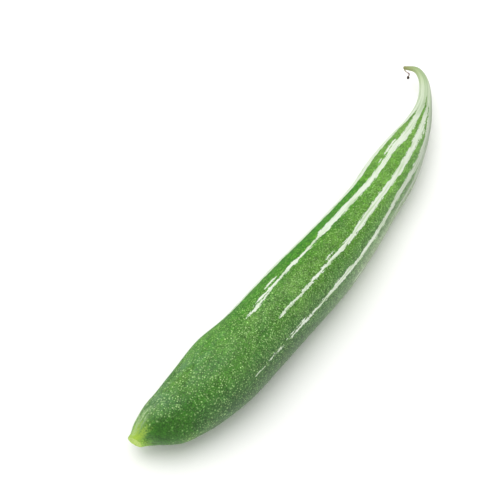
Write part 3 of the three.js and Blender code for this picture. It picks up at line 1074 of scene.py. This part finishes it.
tube = add(dried, "GeometryNodeCurveToMesh", {
    "Curve": spine, "Profile Curve": profile, "Scale": thickness, "Fill Caps": True})
print("inputs:", list(DRIED_INPUTS))

# %% [markdown]
# The wrinkles pull each point in by a share of the thickness there, so that the thin parts aren't
# pinched off.

# %% Wrinkle it
wrinkle_scale = add(dried, "ShaderNodeMath", [1, wanted["Wrinkle width"]], operation="DIVIDE")
wrinkles = add(dried, "ShaderNodeTexNoise", {"Scale": wrinkle_scale, "Detail": 3})
inwards = add(dried, "ShaderNodeMapRange", [wrinkles, 0.3, 0.75, 0, wanted["Wrinkle depth"]])
inwards = add(dried, "ShaderNodeMath", [inwards, thickness], operation="MULTIPLY")
inwards = add(dried, "ShaderNodeMath", [inwards, -1], operation="MULTIPLY")
pull = add(dried, "ShaderNodeVectorMath", [add(dried, "GeometryNodeInputNormal"), inwards],
           operation="SCALE")
wrinkled = add(dried, "GeometryNodeSetPosition", {"Geometry": tube, "Offset": pull})
wrinkled = add(dried, "GeometryNodeSetShadeSmooth", [wrinkled])
wrinkled = add(dried, "GeometryNodeRealizeInstances", [wrinkled])
tissue = add(dried, "GeometryNodeSetMaterial", {"Geometry": wrinkled, "Material": wanted["Tissue"]})
add(dried, "NodeGroupOutput", [tissue])
print("the thread's tree has", len(dried.nodes), "nodes")

# %% [markdown]
# The thread is olive where it leaves the tip, pinkish grey where it dried first, and dark brown in
# the knot. Dead fibre has no wax, so it is matt.

# %% Dried flower tissue
husk, husk_tree, husk_shader = new_material("flower_tissue_dried_fibrous")
HUSK_STOPS = [
    (0, "#a3a05a"), (0.16, "#a89a6a"), (0.3, "#a98f7c"), (0.46, "#8d7480"), (0.56, "#8c7064"),
    (0.68, "#5c4132"), (0.78, "#35241b"), (1, "#2a1c15"),
]
FLECK_WIDTH = 0.3         # mm
along_thread = add(husk_tree, "ShaderNodeAttribute", attribute_name="along").outputs["Fac"]
husk_stops = [(share * LENGTH, code) for share, code in HUSK_STOPS]
husk_colour = colour_along(husk_tree, along_thread, husk_stops)
thread_place = add(husk_tree, "ShaderNodeTexCoord").outputs["Object"]
flecking = add(husk_tree, "ShaderNodeTexNoise",
               {"Vector": thread_place, "Scale": 1 / (FLECK_WIDTH * MM), "Detail": 3})
husk_level = add(husk_tree, "ShaderNodeMapRange", [flecking, 0.3, 0.7, 0.65, 1.3])
husk_colour = add(husk_tree, "ShaderNodeHueSaturation", {"Value": husk_level, "Color": husk_colour})
husk_bump = add(husk_tree, "ShaderNodeBump", {"Distance": 0.05 * MM, "Height": flecking})
fill(husk_tree, husk_shader, {"Base Color": husk_colour, "Roughness": 0.85, "Normal": husk_bump})
print(husk.name, "has", len(husk_tree.nodes), "nodes")

# %% [markdown]
# With its path, its tree and its material, the thread grows as the fruit did.

# %% Grow the thread
grow(thread, dried, tissue=husk)

# %% [markdown]
# ## Hand the pieces over
#
# Each new piece rides on the one body that the gourd is, and stands in for its CAD solid.

# %% Ride and replace
HANDED_OVER = [(fruit, "fruit", "gourd_skin"), (thread, "withered_thread", "withered_flower")]
for piece, node, slot in HANDED_OVER:
    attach(piece, "root")
    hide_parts(node)
    print(piece.name, "stands for", node)

# %% [markdown]
# ## Table, light and camera
#
# The table is a wide sheet of matt white paper. A studio's sheet often curves up behind the object,
# but one this wide fills every view without that. It lies a hair below the fruit, so that the
# pressed belly and the sheet aren't at the same height.

# %% A table of white paper
TABLE_SIZE = 8            # m, wide enough to fill every view
TABLE_GAP = 0.02 * MM
PAPER = "#fcfcfa"
half = TABLE_SIZE / 2
table_mesh = bpy.data.meshes.new("table_sheet")
table_mesh.from_pydata(
    [(x, y, -TABLE_GAP) for x, y in ((-half, -half), (half, -half), (half, half), (-half, half))],
    [], [(0, 1, 2, 3)])
table = bpy.data.objects.new("table_sheet", table_mesh)
bpy.context.scene.collection.objects.link(table)
paper, paper_tree, paper_shader = new_material("paper_white_matt")
fill(paper_tree, paper_shader, {"Base Color": colour(PAPER), "Roughness": 0.9})
table_mesh.materials.append(paper)
table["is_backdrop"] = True
print(table.name, "is", TABLE_SIZE, "m wide")

# %% [markdown]
# The light is a bright white room, as a light tent gives, with one large soft lamp above and behind
# the fruit on its left. The room lights the shadows, and the lamp gives the round form its brighter
# side. The view transform is Standard, so that the paper stays white.

# %% Soft light
ROOM_LIGHT = 0.86
LAMP_POWER = 9             # W
LAMP_SIZE = 1.5            # m
LAMP_PLACE = (-0.1, 0.22, 1.3)
scene = bpy.context.scene
scene.view_settings.view_transform = "Standard"
scene.world = scene.world or bpy.data.worlds.new("light_tent")
scene.world.use_nodes = True
background = scene.world.node_tree.nodes["Background"]
background.inputs["Color"].default_value = (1, 1, 1, 1)
background.inputs["Strength"].default_value = ROOM_LIGHT


def aim(thing, place, target):
    """Puts a lamp or a camera at a place and points it at a target."""
    place, target = Vector(place), Vector(target)
    thing.location = place
    thing.rotation_euler = (target - place).to_track_quat("-Z", "Y").to_euler()
    scene.collection.objects.link(thing)


lamp_data = bpy.data.lights.new("soft_lamp", "AREA")
lamp_data.shape = "DISK"
lamp_data.size = LAMP_SIZE
lamp_data.energy = LAMP_POWER
lamp = bpy.data.objects.new("soft_lamp", lamp_data)
aim(lamp, LAMP_PLACE, (0, 0, 0))
print("the lamp stands", round(lamp.location.length, 2), "m away")

# %% [markdown]
# The camera stands well back with a long lens and looks down at 52 degrees, so the gourd runs from
# the lower left to the upper right, with the neck far away.

# %% Camera
VIEW_TARGET = (-0.0079, 0.0398, 0)
VIEW_AZIMUTH = -58          # degrees, where 0 looks along +Y
VIEW_ELEVATION = 52
VIEW_DISTANCE = 1.095       # m
LENS = 135                  # mm
SENSOR_WIDTH = 36           # mm
turn, rise = math.radians(VIEW_AZIMUTH), math.radians(VIEW_ELEVATION)
back = Vector((math.sin(turn) * math.cos(rise), -math.cos(turn) * math.cos(rise), math.sin(rise)))
camera_data = bpy.data.cameras.new("camera")
camera_data.lens = LENS
camera_data.sensor_width = SENSOR_WIDTH
camera = bpy.data.objects.new("camera", camera_data)
aim(camera, Vector(VIEW_TARGET) + VIEW_DISTANCE * back, VIEW_TARGET)
scene.camera = camera
print("camera at", [round(value, 3) for value in camera.location])

# %% [markdown]
# ## Measure and finish
#
# Both boxes are printed here: the CAD model's and that of the finished surfaces.

# %% Both boxes
visual_box = [list(corner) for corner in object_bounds()]
for name, box in (("CAD", cad_box), ("visual", visual_box)):
    print(name, "box in mm:", [[round(value / MM, 2) for value in corner] for corner in box])
